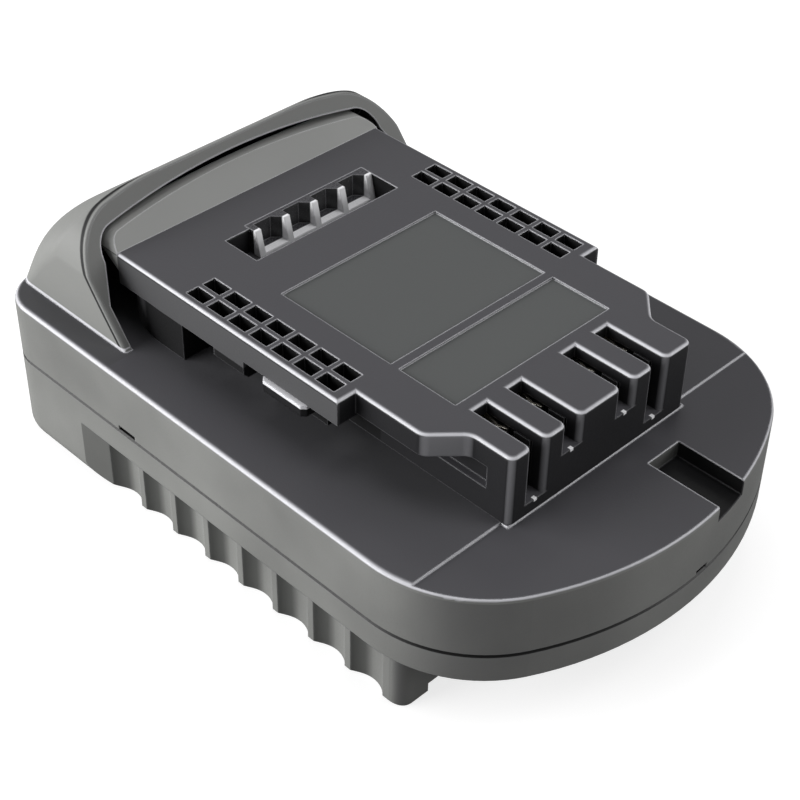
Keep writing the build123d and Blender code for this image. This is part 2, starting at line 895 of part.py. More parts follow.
def on_finger(edge):
    """True for the upright edges of the deck's front, at its corners and slots."""
    size = edge.bounding_box().size
    return deck_front_x - edge.center().X < finger_round and size.X + size.Y < finger_round


def panel_cuts():
    cuts = Part()
    for rear_share, length_share in zip(panel_rear_shares, panel_length_shares):
        x0 = deck_rear_x + deck_length * rear_share
        x1 = x0 + deck_length * length_share
        low = deck_top_z - panel_depth
        cuts += span(x0, x1, -panel_half, panel_half, low, deck_top_z + overrun)
    return cuts


def groove_cut():
    """Recess along the front of the neck, with a rounded front end."""
    x1 = deck_front_x - groove_front_margin
    y0 = neck_half - groove_deep
    cut = span(wing_front_x, x1, y0, neck_half + overrun, plate_z + groove_low, mid_under_z)
    edge = cut.edges().filter_by(Axis.Z).group_by(Axis.X)[-1].sort_by(Axis.Y)[0]
    return fillet(edge, groove_end_radius)


def stop_tab():
    z0 = plate_z + tab_low
    y0 = wing_half - tab_reach
    tab = span(tab_x, tab_x + tab_length, y0, wing_half, z0, wing_under_z + overrun)
    edge = tab.edges().filter_by(Axis.X).group_by(Axis.Z)[0].sort_by(Axis.Y)[-1]
    return chamfer(edge, tab_bevel)


def guide_bounds():
    half = tooth_length / 2 + tooth_gap + guide_wall
    return tooth_x - half, tooth_x + half


def tooth_guide():
    """Open box under the wing that carries the tooth."""
    x0, x1 = guide_bounds()
    low = tooth_low_z - tooth_gap - keeper_floor
    guide = span(x0, x1, neck_half - overrun, keeper_back_y, low, wing_under_z + overrun)
    inner_x0 = x0 + guide_wall
    inner_x1 = x1 - guide_wall
    floor_z = tooth_low_z - tooth_gap
    return guide - span(inner_x0, inner_x1, neck_half, keeper_back_y + overrun, floor_z, wing_under_z)


def rail_deck():
    deck = deck_blank() + deck_tail()
    hollow = deck_hollow() - deck_posts() - pocket_wall()
    deck -= hollow
    for piece in both_sides(stop_tab()) + both_sides(tooth_guide()):
        deck += piece
    for piece in both_sides(groove_cut()):
        deck -= piece
    deck = deck - slot_cuts() - vent_cuts() - panel_cuts() - pocket_cut()
    bore_top = plate_under_z + deck_screw_length + bore_spare
    for x, y in four_spots(deck_screw_spots):
        deck -= rod(x, y, plate_z - overrun, bore_top, deck_screw_radius + screw_fit)
    return deck


def louvre_insert():
    """Comb of bars with leaning fronts on a sill, with a window between each two."""
    x0, x1, y0, y1 = louvre_bounds(0)
    floor_z = deck_top_z - pocket_depth
    foot_x = x1 + louvre_foot
    side = [(x0, floor_z), (foot_x, floor_z), (x1 - louvre_top_setback, deck_top_z), (x0, deck_top_z)]
    section = Plane(origin=(0, y0, 0), x_dir=(1, 0, 0), z_dir=(0, -1, 0)) * make_face(Polyline(*side, close=True))
    body = extrude(section, y0 - y1)
    for i in range(louvre_windows):
        w0 = y0 + louvre_bar + i * louvre_pitch
        w1 = w0 + louvre_pitch - louvre_bar
        window = span(x0 + louvre_back, x1 + overrun, w0, w1, floor_z + louvre_sill, deck_top_z + overrun)
        corner = window.edges().filter_by(Axis.Z).group_by(Axis.X)[0].sort_by(Axis.Y)[-1]
        body -= chamfer(corner, louvre_bevel)
    return body


def terminal_carrier():
    x0, x1, y0, y1 = carrier_bounds()
    body = span(x0, x1, y0, y1, board_top_z, deck_inner_z - carrier_top_gap)
    for y, floor in zip(slot_centres(), slot_floors()):
        floor_z = plate_z + floor
        top = deck_top_z
        slot = slot_width / 2
        bay = clip_bay_width / 2
        body -= span(x0 + carrier_side, x1 + overrun, y - slot, y + slot, floor_z, top)
        body -= span(x0 + carrier_side, x1 - clip_bay_front, y - bay, y + bay, floor_z, top)
        body -= clip_tail(y, floor_z, clip_tail_gap, board_top_z - overrun)
    return body


def clip_rear_x():
    return carrier_bounds()[0] + carrier_side + clip_rear_gap


def clip_tail(y, floor_z, grow, z0):
    """Solder tail under a clip's back, or the slot that it passes through."""
    x0 = clip_rear_x()
    half = clip_tail_length / 2 + grow
    return span(x0 - grow, x0 + clip_sheet + grow, y - half, y + half, z0, floor_z + clip_floor_gap)


def clip_leaf(y, side, z0, z1):
    """One leaf of a clip: straight, then pinched in, then flared out."""
    x0 = clip_rear_x()
    mid_x = x0 + clip_length * clip_straight_share
    pinch_x = x0 + clip_length * clip_pinch_share
    end_x = x0 + clip_length
    run = [(x0, clip_half), (mid_x, clip_half), (pinch_x, clip_pinch), (end_x, clip_flare)]
    outer = [(x, y + side * (off + clip_sheet)) for x, off in run]
    inner = [(x, y + side * off) for x, off in run]
    face = make_face(Polyline(*(outer + inner[::-1]), close=True))
    return extrude(Pos(0, 0, z0) * face, z1 - z0)


def spring_clip(y, floor):
    floor_z = plate_z + floor
    z0 = floor_z + clip_floor_gap
    z1 = deck_inner_z - carrier_top_gap - clip_floor_gap
    x0 = clip_rear_x()
    half = clip_half + clip_sheet
    clip = span(x0, x0 + clip_sheet, y - half, y + half, z0, z1)
    clip += clip_leaf(y, 1, z0, z1)
    clip += clip_leaf(y, -1, z0, z1)
    return clip + clip_tail(y, floor_z, 0, board_under_z - clip_tail_below)


def circuit_board():
    x1 = board_rear_x + board_length
    board = span(board_rear_x, x1, -board_half, board_half, board_under_z, board_top_z)
    for x, y in board_corners():
        board -= rod(x, y, board_under_z - overrun, board_top_z + overrun, board_screw_radius + screw_pass)
    for y, floor in zip(slot_centres(), slot_floors()):
        board -= clip_tail(y, plate_z + floor, clip_tail_gap, board_under_z - overrun)
    notch = case_boss_radius + board_notch_gap
    for x, y in four_spots(case_screw_spots):
        board -= rod(x, y, board_under_z - overrun, board_top_z + overrun, notch)
    return board


def board_part(spot, size):
    ahead, y = spot
    x = board_rear_x + ahead
    length, width, height = size
    return span(
        x - length / 2, x + length / 2, y - width / 2, y + width / 2, board_under_z - height, board_under_z
    )


def power_switches():
    return Compound([board_part(spot, switch_size) for spot in switch_spots])


def smoothing_capacitor():
    ahead, y = capacitor_spot
    x = board_rear_x + ahead
    can = rod(x, y, board_under_z - capacitor_height, board_under_z, capacitor_radius)
    return fillet(can.edges().group_by(Axis.Z)[0], capacitor_round)


def screw(x, y, seat_z, direction, radius, length, head_radius, head_height):
    """A screw whose head's underside seats at seat_z and whose shank goes up or down."""
    shank_z = sorted((seat_z, seat_z + direction * length))
    head_z = sorted((seat_z, seat_z - direction * head_height))
    body = rod(x, y, shank_z[0], shank_z[1], radius) + rod(x, y, head_z[0], head_z[1], head_radius)
    socket_top = seat_z - direction * head_height
    socket_low = socket_top + direction * head_height * socket_depth_share
    socket_z = sorted((socket_top, socket_low))
    socket = Pos(x, y, socket_z[0]) * extrude(
        RegularPolygon(head_radius * socket_share, socket_sides), socket_z[1] - socket_z[0]
    )
    return body - socket


def screw_group(spots, seat_z, direction, radius, length, head_radius, head_height):
    screws = [screw(x, y, seat_z, direction, radius, length, head_radius, head_height) for x, y in spots]
    return Compound(screws)


def case_screws():
    seat = skirt_depth + case_head_recess
    return screw_group(
        four_spots(case_screw_spots),
        seat,
        1,
        case_screw_radius,
        case_screw_length,
        case_screw_head_radius,
        case_screw_head_height,
    )


def deck_screws():
    return screw_group(
        four_spots(deck_screw_spots),
        plate_under_z,
        1,
        deck_screw_radius,
        deck_screw_length,
        deck_screw_head_radius,
        deck_screw_head_height,
    )


def board_screws():
    return screw_group(
        board_corners(),
        board_under_z,
        1,
        board_screw_radius,
        board_screw_reach,
        board_screw_head_radius,
        board_screw_head_height,
    )


def block_screws():
    return screw_group(
        block_screw_spots(),
        ceiling_z + block_flange,
        -1,
        block_screw_radius,
        block_screw_length,
        block_screw_head_radius,
        block_screw_head_height,
    )


def blade(y, grow):
    """L-shaped blade: a tongue into the receiver and a riser into the compartment."""
    x0, x1, half = block_bounds()
    thick = blade_thick / 2 + grow
    riser_x = x0 + blade_riser_rear
    top = blade_low + blade_height
    tongue = span(riser_x - grow, x1 + blade_reach, y - thick, y + thick, blade_low - grow, top + grow)
    riser_top = ceiling_z + block_flange + blade_riser_top
    riser_end = riser_x + blade_riser_length + grow
    return tongue + span(riser_x - grow, riser_end, y - thick, y + thick, blade_low - grow, riser_top)


def finished_blade(y):
    shape = blade(y, 0)
    tip = shape.edges().filter_by(Axis.Y).group_by(Axis.X)[-1]
    return chamfer(tip, blade_tip_bevel)


def donor_terminal_block():
    x0, x1, half = block_bounds()
    body = span(x0, x1, -half, half, block_low, ceiling_z)
    body += span(
        x0 - block_flange_front,
        x1 + block_flange_front,
        -block_flange_half,
        block_flange_half,
        ceiling_z,
        ceiling_z + block_flange,
    )
    for y in (power_blade_y, -power_blade_y, signal_blade_y, -signal_blade_y):
        body -= blade(y, blade_fit)
    for x, y in block_screw_spots():
        body -= rod(x, y, skirt_depth, ceiling_z + block_flange + overrun, block_screw_radius + screw_pass)
    return body


def lead(y, radius, ahead):
    """Wire from a blade's riser forward and up to the board's underside."""
    x0, x1, half = block_bounds()
    end_x = board_rear_x + ahead
    start_x = x0 + blade_riser_rear + blade_riser_length
    level = ceiling_z + block_flange + blade_riser_top - lead_drop
    points = [(start_x, y, level), (end_x, y, level), (end_x, y, board_under_z)]
    bend = min(lead_bend, board_under_z - level - radius)
    path = FilletPolyline(*points, radius=bend)
    section = Plane(origin=points[0], z_dir=(1, 0, 0)) * Circle(radius)
    return sweep(section, path)


def latch_strike():
    x0, x1, y0, y1 = catch_bounds(0)
    y0 += strike_side_gap
    y1 -= strike_side_gap
    return span(x1 - strike_thick, x1, y0, y1, skirt_depth, skirt_depth + catch_rise)


def latch_tooth():
    """Tooth on the +Y side: nose, lower shoulder and a blind bore for the spring."""
    x0 = tooth_x - tooth_length / 2
    x1 = tooth_x + tooth_length / 2
    nose = span(x0, x1, tooth_back_y, tooth_face_y, tooth_nose_z, tooth_top_z)
    tips = nose.edges().filter_by(Axis.Z).group_by(Axis.Y)[-1]
    nose = chamfer(tips, tooth_ramp)
    shoulder = span(x0, x1, tooth_back_y, keeper_back_y - tooth_gap, tooth_low_z, tooth_nose_z)
    body = nose + shoulder
    bore_end = tooth_back_y + spring_bore_depth
    return body - spring_tube(spring_radius + spring_bore_gap, tooth_back_y, bore_end)


def spring_tube(radius, y0, y1):
    middle_z = (tooth_low_z + tooth_top_z) / 2
    plane = Plane(origin=(tooth_x, y0, middle_z), x_dir=(1, 0, 0), z_dir=(0, 1, 0))
    return extrude(plane * Circle(radius), y1 - y0)


def tooth_spring():
    y1 = tooth_back_y + spring_bore_depth
    outer = spring_tube(spring_radius, neck_half, y1)
    return outer - spring_tube(spring_radius - spring_wire, neck_half, y1)


def tooth_keeper():
    """Face plate that holds the tooth in its guide by the shoulder."""
    x0, x1 = guide_bounds()
    low = tooth_low_z - tooth_gap - keeper_floor
    plate = span(x0, x1, keeper_back_y, keeper_face_y, low, wing_under_z)
    window = span(
        x0 + guide_wall,
        x1 - guide_wall,
        keeper_back_y - overrun,
        keeper_face_y + overrun,
        tooth_nose_z - tooth_gap,
        wing_under_z + overrun,
    )
    return plate - window


def save(name, shape):
    export_step(shape, os.path.join("parts", name + ".step"))


def sided(name, shape):
    """The piece on the +Y side is the right one, its mirror image the left one."""
    save(name + "_right", shape)
    save(name + "_left", mirror(shape, Plane.XZ))


def main():
    os.makedirs("parts", exist_ok=True)
    save("top_case", top_case())
    save("bottom_case", bottom_case() + receiver_bosses() - bottom_case_cuts())
    save("rail_deck", rail_deck())
    save("louvre_insert", louvre_insert())
    save("terminal_carrier", terminal_carrier())
    centres = slot_centres()
    save("clip_negative", spring_clip(centres[0], outer_slot_floor))
    save("clip_signal_low", spring_clip(centres[1], inner_slot_floor))
    save("clip_signal_high", spring_clip(centres[2], inner_slot_floor))
    save("clip_positive", spring_clip(centres[3], outer_slot_floor))
    save("circuit_board", circuit_board())
    save("power_switches", power_switches())
    save("control_chip", board_part(chip_spot, chip_size))
    save("board_fuse", board_part(fuse_spot, fuse_size))
    save("sense_resistor", board_part(shunt_spot, shunt_size))
    save("smoothing_capacitor", smoothing_capacitor())
    save("donor_terminal_block", donor_terminal_block())
    save("blade_positive", finished_blade(power_blade_y))
    save("blade_negative", finished_blade(-power_blade_y))
    save("blade_signal_high", finished_blade(signal_blade_y))
    save("blade_signal_low", finished_blade(-signal_blade_y))
    save("lead_positive", lead(power_blade_y, power_lead_radius, power_lead_end))
    save("lead_negative", lead(-power_blade_y, power_lead_radius, power_lead_end))
    save("lead_signal_high", lead(signal_blade_y, signal_lead_radius, signal_lead_end))
    save("lead_signal_low", lead(-signal_blade_y, signal_lead_radius, signal_lead_end))
    save("latch_strike", latch_strike())
    save("case_screws", case_screws())
    save("deck_screws", deck_screws())
    save("board_screws", board_screws())
    save("block_screws", block_screws())
    sided("latch_tooth", latch_tooth())
    sided("tooth_spring", tooth_spring())
    sided("tooth_keeper", tooth_keeper())


main()
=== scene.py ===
import bpy
import math
from mathutils import Matrix, Vector


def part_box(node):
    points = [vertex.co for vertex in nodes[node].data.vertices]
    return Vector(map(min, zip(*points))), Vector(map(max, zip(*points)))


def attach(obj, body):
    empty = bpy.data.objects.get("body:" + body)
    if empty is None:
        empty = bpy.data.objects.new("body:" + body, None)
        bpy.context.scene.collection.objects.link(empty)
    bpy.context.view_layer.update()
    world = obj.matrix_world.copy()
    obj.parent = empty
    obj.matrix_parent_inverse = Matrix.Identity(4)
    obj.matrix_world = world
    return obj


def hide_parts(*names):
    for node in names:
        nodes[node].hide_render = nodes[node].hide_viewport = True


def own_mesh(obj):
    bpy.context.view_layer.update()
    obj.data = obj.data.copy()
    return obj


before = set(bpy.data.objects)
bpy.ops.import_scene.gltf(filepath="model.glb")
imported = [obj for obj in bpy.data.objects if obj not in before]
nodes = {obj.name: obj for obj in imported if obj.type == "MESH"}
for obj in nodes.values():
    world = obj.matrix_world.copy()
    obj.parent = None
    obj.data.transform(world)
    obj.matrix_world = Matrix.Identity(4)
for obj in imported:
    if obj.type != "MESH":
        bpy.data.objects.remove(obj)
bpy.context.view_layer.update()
print("stage: frame loaded,", len(nodes), "nodes")

mm = 0.001

# camera, placed as the photograph's was
cameraValues = {
    "lookAt": (4.223, -6.208, 22.59),
    "distance": 277.62,
    "turn": 44.774,
    "raise": 39.248,
    "roll": 1.06,
    "lens": 79.01,
    "sensor": 36.0,
    "clipStart": 0.01,
}


def makeCamera(v):
    turn, lift, roll = (math.radians(v[k]) for k in ("turn", "raise", "roll"))
    back = Vector((math.sin(turn) * math.cos(lift), -math.cos(turn) * math.cos(lift), math.sin(lift)))
    side = (-back).cross(Vector((0, 0, 1))).normalized()
    above = side.cross(-back)
    right = side * math.cos(roll) + above * math.sin(roll)
    up = above * math.cos(roll) - side * math.sin(roll)
    data = bpy.data.cameras.new("photoCamera")
    data.lens = v["lens"]
    data.sensor_width = v["sensor"]
    data.clip_start = v["clipStart"]
    data.dof.use_dof = False
    camera = bpy.data.objects.new("photoCamera", data)
    bpy.context.scene.collection.objects.link(camera)
    place = (Vector(v["lookAt"]) + back * v["distance"]) * mm
    camera.matrix_world = Matrix.Translation(place) @ Matrix((right, up, back)).transposed().to_4x4()
    bpy.context.scene.camera = camera


makeCamera(cameraValues)
print("stage: camera set")

# studio: a pale floor, a soft sky and five soft boxes
studioValues = {
    "floorSize": 6.0,
    "floorColour": (0.4, 0.4, 0.4, 1),
    "floorLift": 0.75,
    "skyStrength": 0.2,
    "boxes": (
        # name, place, aim, size, watts
        ("sideBox", (-0.5, -0.65, 0.28), (0.0, 0.0, 0.02), (0.8, 0.45), 11.5),
        ("rearBox", (-0.55, 0.55, 0.65), (0.0, 0.0, 0.04), (0.8, 0.3), 0.55),
        ("highBox", (0.35, 0.25, 0.75), (0.0, 0.0, 0.03), (0.35, 0.35), 1.3),
        ("farBox", (0.6, 0.5, 0.25), (0.0, 0.0, 0.02), (0.4, 0.3), 2.4),
        ("topBox", (-0.1, 0.1, 1.0), (0.0, 0.0, 0.03), (0.4, 0.4), 2.2),
    ),
}


def addSoftBox(name, place, aim, size, watts):
    light = bpy.data.lights.new(name, "AREA")
    light.shape = "RECTANGLE"
    light.size, light.size_y = size
    light.energy = watts
    lamp = bpy.data.objects.new(name, light)
    bpy.context.scene.collection.objects.link(lamp)
    lamp.location = place
    lamp.rotation_euler = (Vector(aim) - Vector(place)).to_track_quat("-Z", "Y").to_euler()


def makeFloor(v):
    bpy.ops.object.select_all(action="DESELECT")
    bpy.ops.mesh.primitive_plane_add(size=v["floorSize"], location=(0, 0, 0))
    floor = bpy.context.object
    floor.name = "studioFloor"
    material = bpy.data.materials.new("floorPaper")
    material.use_nodes = True
    tree = material.node_tree
    tree.nodes.clear()
    paper = tree.nodes.new("ShaderNodeBsdfDiffuse")
    paper.inputs["Color"].default_value = v["floorColour"]
    glow = tree.nodes.new("ShaderNodeEmission")
    path = tree.nodes.new("ShaderNodeLightPath")
    lift = tree.nodes.new("ShaderNodeMath")
    lift.operation = "MULTIPLY"
    lift.inputs[1].default_value = v["floorLift"]
    add = tree.nodes.new("ShaderNodeAddShader")
    out = tree.nodes.new("ShaderNodeOutputMaterial")
    tree.links.new(path.outputs["Is Camera Ray"], lift.inputs[0])
    tree.links.new(lift.outputs[0], glow.inputs["Strength"])
    tree.links.new(paper.outputs[0], add.inputs[0])
    tree.links.new(glow.outputs[0], add.inputs[1])
    tree.links.new(add.outputs[0], out.inputs["Surface"])
    floor.data.materials.append(material)


def makeSky(v):
    world = bpy.data.worlds.new("studioSky")
    bpy.context.scene.world = world
    world.use_nodes = True
    tree = world.node_tree
    tree.nodes.clear()
    path = tree.nodes.new("ShaderNodeLightPath")
    soft = tree.nodes.new("ShaderNodeBackground")
    soft.inputs["Color"].default_value = (1, 1, 1, 1)
    soft.inputs["Strength"].default_value = v["skyStrength"]
    white = tree.nodes.new("ShaderNodeBackground")
    white.inputs["Color"].default_value = (1, 1, 1, 1)
    white.inputs["Strength"].default_value = 1.0
    mix = tree.nodes.new("ShaderNodeMixShader")
    out = tree.nodes.new("ShaderNodeOutputWorld")
    tree.links.new(path.outputs["Is Camera Ray"], mix.inputs["Fac"])
    tree.links.new(soft.outputs[0], mix.inputs[1])
    tree.links.new(white.outputs[0], mix.inputs[2])
    tree.links.new(mix.outputs[0], out.inputs["Surface"])


makeFloor(studioValues)
makeSky(studioValues)
for softBox in studioValues["boxes"]:
    addSoftBox(*softBox)
bpy.context.scene.view_settings.view_transform = "Standard"
print("stage: studio lit")


# material tools: a bench adds and joins the shader nodes of one material
class Bench:
    def __init__(self, name):
        self.material = bpy.data.materials.new(name)
        self.material.use_nodes = True
        self.tree = self.material.node_tree
        self.tree.nodes.clear()
        self.out = self.add("ShaderNodeOutputMaterial")

    def add(self, kind, **values):
        node = self.tree.nodes.new(kind)
        for key, value in values.items():
            setattr(node, key, value)
        return node

    def join(self, source, target):
        self.tree.links.new(source, target)

    def place(self, scale=(1, 1, 1), turn=(0, 0, 0)):
        # object coordinates in millimetres
        coord = self.add("ShaderNodeTexCoord")
        mapping = self.add("ShaderNodeMapping")
        mapping.inputs["Scale"].default_value = [s / mm for s in scale]
        mapping.inputs["Rotation"].default_value = [math.radians(a) for a in turn]
        self.join(coord.outputs["Object"], mapping.inputs["Vector"])
        return mapping.outputs["Vector"]

    def noise(self, where, scale, detail=2.0, rough=0.5):
        node = self.add("ShaderNodeTexNoise")
        node.inputs["Scale"].default_value = scale
        node.inputs["Detail"].default_value = detail
        node.inputs["Roughness"].default_value = rough
        self.join(where, node.inputs["Vector"])
        return node.outputs["Fac"]

    def spread(self, value, low, high, newLow, newHigh, smooth=False):
        node = self.add("ShaderNodeMapRange")
        if smooth:
            node.interpolation_type = "SMOOTHSTEP"
        node.inputs["From Min"].default_value = low
        node.inputs["From Max"].default_value = high
        node.inputs["To Min"].default_value = newLow
        node.inputs["To Max"].default_value = newHigh
        self.join(value, node.inputs["Value"])
        return node.outputs["Result"]

    def within(self, value, start, end, soft=0.05):
        # 1 between start and end
        rise = self.spread(value, start - soft, start + soft, 0.0, 1.0)
        fall = self.spread(value, end - soft, end + soft, 1.0, 0.0)
        return self.combine(rise, fall, "MULTIPLY")

    def combine(self, a, b, operation="ADD"):
        node = self.add("ShaderNodeMath", operation=operation)
        for value, socket in ((a, node.inputs[0]), (b, node.inputs[1])):
            if isinstance(value, (int, float)):
                socket.default_value = value
            else:
                self.join(value, socket)
        return node.outputs[0]

    def blend(self, fac, a, b):
        # a colour mix has its factor on socket 0, its colours on 6 and 7, and its result on 2
        node = self.add("ShaderNodeMix", data_type="RGBA")
        self.join(fac, node.inputs[0])
        for value, socket in ((a, node.inputs[6]), (b, node.inputs[7])):
            if isinstance(value, (tuple, list)):
                socket.default_value = (*value[:3], 1)
            else:
                self.join(value, socket)
        return node.outputs[2]

    def blendNormal(self, fac, a, b):
        # a vector mix has its factor on socket 0, its vectors on 4 and 5, and its result on 1
        node = self.add("ShaderNodeMix", data_type="VECTOR")
        for value, socket in ((fac, node.inputs[0]), (a, node.inputs[4]), (b, node.inputs[5])):
            self.join(value, socket)
        return node.outputs[1]

    def bevel(self, radius, samples=6):
        # the normal rounded over the edges, and a mask that is 1 on them, by the cosine between the
        # rounded and the plain normal
        flat, turned = 0.999, 0.93
        node = self.add("ShaderNodeBevel", samples=samples)
        node.inputs["Radius"].default_value = radius * mm
        plain = self.add("ShaderNodeNewGeometry")
        dot = self.add("ShaderNodeVectorMath", operation="DOT_PRODUCT")
        self.join(node.outputs["Normal"], dot.inputs[0])
        self.join(plain.outputs["Normal"], dot.inputs[1])
        return node.outputs["Normal"], self.spread(dot.outputs["Value"], flat, turned, 0.0, 1.0)

    def bump(self, height, strength, distance, normal=None):
        node = self.add("ShaderNodeBump")
        node.inputs["Strength"].default_value = strength
        node.inputs["Distance"].default_value = distance * mm
        self.join(height, node.inputs["Height"])
        if normal is not None:
            self.join(normal, node.inputs["Normal"])
        return node.outputs["Normal"]

    def finish(self, colour, rough, normal=None, **constants):
        shader = self.add("ShaderNodeBsdfPrincipled")
        for key, value in (("Base Color", colour), ("Roughness", rough), ("Normal", normal)):
            if value is None:
                continue
            if isinstance(value, (int, float)):
                shader.inputs[key].default_value = value
            elif isinstance(value, (tuple, list)):
                shader.inputs[key].default_value = (*value[:3], 1)
            else:
                self.join(value, shader.inputs[key])
        for key, value in constants.items():
            shader.inputs[key].default_value = value
        self.join(shader.outputs[0], self.out.inputs["Surface"])
        return self.material


noiseMiddle = (0.3, 0.7)  # where most of a noise lies
fade = 0.1  # mm over which a finish begins
beyond = 60.0  # mm, past every face of the part
pastUnit = 1.1  # past the longest part of a normal


# moulded plastic: satin tops, finely grained side walls painted a lighter grey than the tops for the light
# they catch, edges and rounds painted with a light highlight and made smoother, and a dark parting line. A
# zone is (colour, added roughness, {way: (from, to, softness)}), and holds where all its ways do: x, y, z,
# aside (y either way) and behind (from the hood's lip back) are places in mm, ahead and up are parts of the
# normal. The softness can be left out. Most zones paint light or shade: lit faces, highlights, and black
# shade in recesses and under overhangs.
def makeMoulding(name, v):
    b = Bench(name)
    where = b.place()
    flow = b.noise(where, v["flowScale"], detail=3.0)
    grain = b.noise(where, v["grainScale"], detail=2.0, rough=0.6)
    speck = b.noise(where, v["speckScale"], detail=1.0)
    rounded, edge = b.bevel(v["edge"])
    facing = b.add("ShaderNodeTexCoord")
    side = b.add("ShaderNodeSeparateXYZ")
    b.join(facing.outputs["Normal"], side.inputs[0])
    spot = b.add("ShaderNodeSeparateXYZ")
    b.join(where, spot.inputs[0])

    ways = {way: spot.outputs[way.upper()] for way in "xyz"}
    ways["aside"] = b.combine(ways["y"], 0.0, "ABSOLUTE")
    lipPlace = b.combine(b.combine(ways["z"], -v["lipLean"], "MULTIPLY"), v["lipStart"])
    ways["behind"] = b.combine(lipPlace, ways["x"], "SUBTRACT")
    ways["ahead"] = side.outputs["X"]
    ways["up"] = side.outputs["Z"]

    # tops and walls, told apart by the normal; the walls' colour is painted lighter than the tops for the
    # light they catch, with dust on both
    level = b.combine(ways["up"], 0.0, "ABSOLUTE")
    wall = b.spread(level, *v["wallTurn"], 1.0, 0.0, smooth=True)
    base = b.blend(wall, v["top"], v["wall"])
    rough = b.spread(wall, 0.0, 1.0, v["topRough"], v["wallRough"])
    base = b.blend(b.spread(flow, *noiseMiddle, 0.0, v["flowDust"]), base, v["dust"])
    base = b.blend(b.spread(speck, *v["speckRange"], 0.0, v["speckDust"]), base, v["dust"])

    for colour, matt, limits in v["zones"].values():
        inside = b.spread(flow, *noiseMiddle, 0.9, 1.0)
        for way, reach in limits.items():
            inside = b.combine(inside, b.within(ways[way], *reach), "MULTIPLY")
        base = b.blend(inside, base, colour)
        rough = b.combine(rough, b.combine(inside, matt, "MULTIPLY"))

    # the painted highlight: rounds between the tops and the walls, upright rounds between two walls, and
    # sharp edges are painted a light colour and made smoother
    lean = b.within(ways["up"], *v["roundLean"])
    lean = b.combine(lean, b.within(ways["z"], v["roundFrom"], v["roundTo"]), "MULTIPLY")
    lean = b.combine(lean, b.spread(ways["x"], v["roundRear"], v["roundRear"] + fade, 0.0, 1.0), "MULTIPLY")
    corner = b.combine(b.combine(side.outputs["X"], side.outputs["Y"], "MULTIPLY"), 0.0, "ABSOLUTE")
    corner = b.spread(corner, *v["cornerTurn"], 0.0, v["cornerShare"])
    seam = b.within(ways["z"], v["seam"] - v["seamHalf"], v["seam"] + v["seamHalf"], v["seamSoft"])
    share = b.spread(ways["z"], v["edgeFrom"], v["edgeFrom"] + fade, v["lowShare"], v["sharpShare"])
    edge = b.combine(b.combine(edge, share, "MULTIPLY"), b.spread(seam, 0.0, 1.0, 1.0, 0.0), "MULTIPLY")
    highlightedEdges = b.combine(b.combine(edge, lean, "MAXIMUM"), corner, "MAXIMUM")
    # painted highlight: the light edge colour laid over the edges, rounds and upright corners
    base = b.blend(b.combine(highlightedEdges, v["edgeShare"], "MULTIPLY"), base, v["edgeHighlight"])
    base = b.blend(seam, base, v["seamColour"])

    rough = b.combine(rough, b.spread(grain, *noiseMiddle, -v["grainRough"], v["grainRough"]))
    rough = b.combine(rough, b.combine(highlightedEdges, -v["edgePolish"], "MULTIPLY"))
    plain = b.add("ShaderNodeNewGeometry")
    normal = b.blendNormal(seam, rounded, plain.outputs["Normal"])
    normal = b.bump(grain, v["grain"], v["grainDepth"], normal)
    return b.finish(base, rough, normal, **{"Specular IOR Level": v["gloss"]})


# painted light: a light grey for the walls, for the light they catch, far lighter than the near-black tops
litWallGrey = (0.235, 0.238, 0.228)
black = (0.004, 0.004, 0.0045)
moulding = {
    "top": (0.0105, 0.0094, 0.0135),
    "wall": litWallGrey,
    "wallTurn": (0.2, 0.75),
    "topRough": 0.4,
    "wallRough": 0.5,
    "gloss": 0.22,
    "zones": {},
    # dust and grain
    "dust": (0.016, 0.0155, 0.0175),
    "flowScale": 0.035,
    "flowDust": 0.35,
    "speckScale": 9.0,
    "speckRange": (0.62, 0.75),
    "speckDust": 0.25,
    "grainScale": 3.2,
    "grain": 0.25,
    "grainDepth": 0.06,
    "grainRough": 0.04,
    # painted highlight on the edges, which are also made smoother there: the bevel's radius, and the share
    # above and below a height
    "edge": 0.35,
    "edgeHighlight": (0.72, 0.72, 0.76),
    "edgeShare": 0.6,
    "edgePolish": 0.22,
    "edgeFrom": -1.0,
    "lowShare": 0.0,
    "sharpShare": 0.5,
    "cornerTurn": (0.2, 0.5),
    "cornerShare": 0.0,
    # rounds that are modelled, which also get the painted highlight, by how far their normal leans and
    # where they lie
    "roundLean": (0.45, 0.92, 0.1),
    "roundFrom": -10.0,
    "roundTo": 60.0,
    "roundRear": -80.0,
    # parting line, below the part unless a moulding has one
    "seam": -50.0,
    "seamHalf": 0.32,
    "seamSoft": 0.08,
    "seamColour": (0.008, 0.008, 0.008),
    # the hood's lip, x = lipStart - lipLean * z
    "lipLean": 0.79,
    "lipStart": -7.08,
}

# places on the case and the deck, in mm
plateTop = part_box("rail_deck")[0][2] / mm
deckTop = plateTop + 12.4
deckRear = -37.1
deckFront = 39.6
wingFront = 13.8
wingUnder = 34.7
seamDrop = 11.2  # from the plate down to the parting line
onPlate = (plateTop - 0.2, plateTop + 0.06)
abovePlate = (plateTop + 0.1, beyond)

